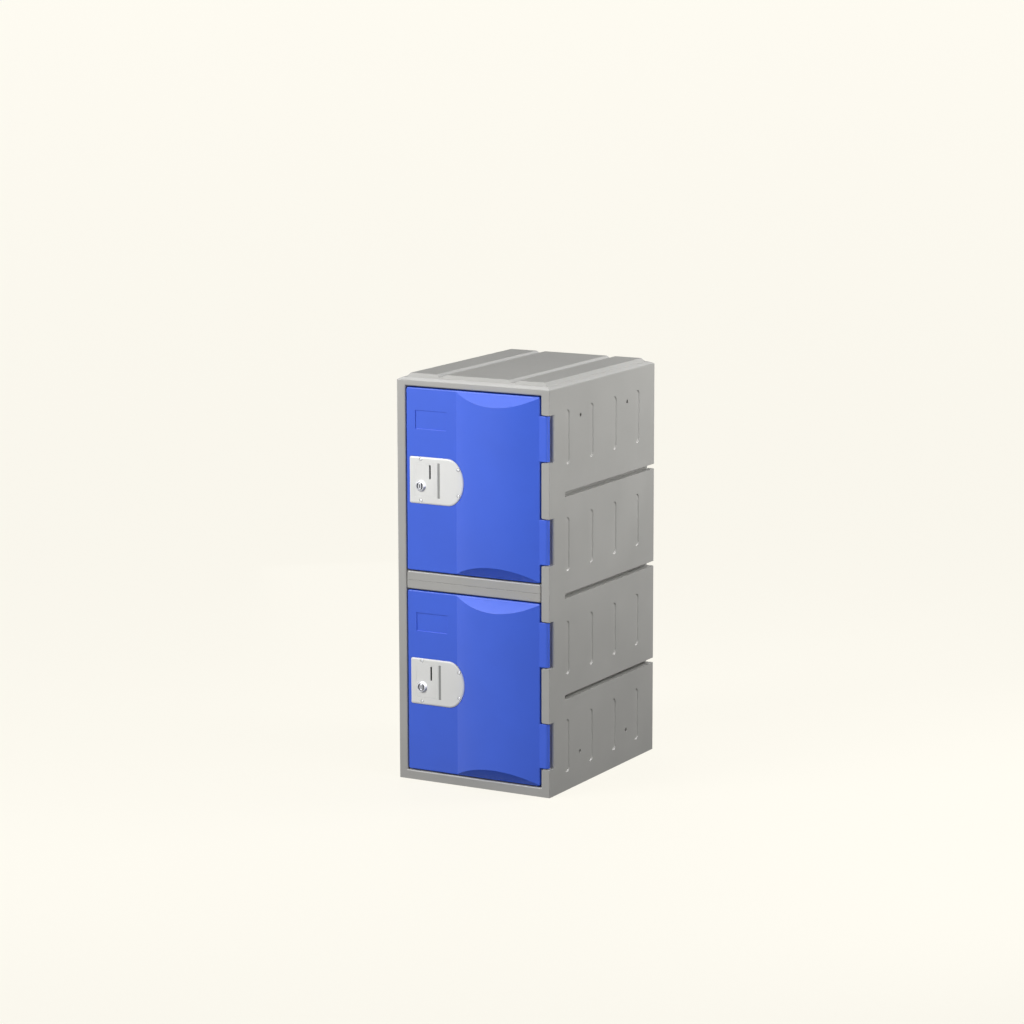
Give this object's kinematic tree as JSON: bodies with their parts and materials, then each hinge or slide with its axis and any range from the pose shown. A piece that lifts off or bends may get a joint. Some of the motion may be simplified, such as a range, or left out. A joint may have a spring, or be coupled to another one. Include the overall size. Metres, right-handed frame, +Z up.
{
  "type": "school locker",
  "caption": "Moulded plastic locker with stacked compartments, bowed hinged doors and key locks with a coin slot.",
  "frame": {"origin": "centre of the base, on the floor plane", "axes": "+X to the right seen from the front, towards the hinges; +Y to the back; +Z up; the doors face -Y"},
  "size_m": [0.382, 0.522, 0.913],
  "materials": {
    "grey_body": "moulded, fine satin",
    "grey_inside": "moulded, fine satin",
    "blue_door": "moulded, soft gloss",
    "blue_inside": "moulded, satin",
    "white_plate": "satin",
    "black_inside": "matte",
    "grey_insert": "matte",
    "chrome_lock": "polished",
    "chrome_plug": "polished",
    "bright_screw": "bright",
    "zinc_steel": "zinc plated",
    "black_rubber": "matte"
  },
  "bodies": {
    "cabinet": {"left_side_shell": "grey_body", "right_side_shell": "grey_body", "left_side_liner": "grey_inside", "right_side_liner": "grey_inside", "left_support_rails": "grey_inside", "right_support_rails": "grey_inside", "top_panel": "grey_body", "top_liner": "grey_inside", "upper_floor": "grey_body", "lower_ceiling": "grey_body", "base_panel": "grey_body", "back_panel": "grey_body", "shelf_screws": "zinc_steel", "back_screws": "zinc_steel", "upper_door_stops": "grey_inside", "lower_door_stops": "grey_inside", "strike_screws": "zinc_steel", "upper_hinge_rod": "zinc_steel", "lower_hinge_rod": "zinc_steel", "hinge_rod_plug": "grey_body", "upper_strike": "zinc_steel", "lower_strike": "zinc_steel"},
    "upper_door": {"upper_door_skin": "blue_door", "upper_door_liner": "blue_inside", "upper_door_liner_screws": "zinc_steel", "upper_door_buffers": "black_rubber", "upper_lock_plate": "white_plate", "upper_lock_plate_screws": "bright_screw", "upper_lock_case": "white_plate", "upper_lock_case_cover": "black_inside", "upper_coin_chute": "black_inside", "upper_slot_channel": "grey_insert", "upper_lock_barrel": "chrome_lock", "upper_lock_nut": "zinc_steel"},
    "upper_lock": {"upper_lock_plug": "chrome_plug", "upper_lock_cam": "zinc_steel", "upper_cam_screw": "zinc_steel"},
    "lower_door": {"lower_door_skin": "blue_door", "lower_door_liner": "blue_inside", "lower_door_liner_screws": "zinc_steel", "lower_door_buffers": "black_rubber", "lower_lock_plate": "white_plate", "lower_lock_plate_screws": "bright_screw", "lower_lock_case": "white_plate", "lower_lock_case_cover": "black_inside", "lower_coin_chute": "black_inside", "lower_slot_channel": "grey_insert", "lower_lock_barrel": "chrome_lock", "lower_lock_nut": "zinc_steel"},
    "lower_lock": {"lower_lock_plug": "chrome_plug", "lower_lock_cam": "zinc_steel", "lower_cam_screw": "zinc_steel"}
  },
  "joints": [
    {"name": "upper_door_hinge", "type": "hinge", "parent": "cabinet", "child": "upper_door", "pos_m": [0.181, -0.242, 0.6805], "axis": [0, 0, 1], "range_deg": [0, 110]},
    {"name": "lower_door_hinge", "type": "hinge", "parent": "cabinet", "child": "lower_door", "pos_m": [0.181, -0.242, 0.2275], "axis": [0, 0, 1], "range_deg": [0, 110]},
    {"name": "upper_lock_turn", "type": "hinge", "parent": "upper_door", "child": "upper_lock", "pos_m": [-0.1297, -0.25, 0.6675], "axis": [0, 1, 0], "range_deg": [0, 90]},
    {"name": "lower_lock_turn", "type": "hinge", "parent": "lower_door", "child": "lower_lock", "pos_m": [-0.1297, -0.25, 0.2145], "axis": [0, 1, 0], "range_deg": [0, 90]}
  ]
}
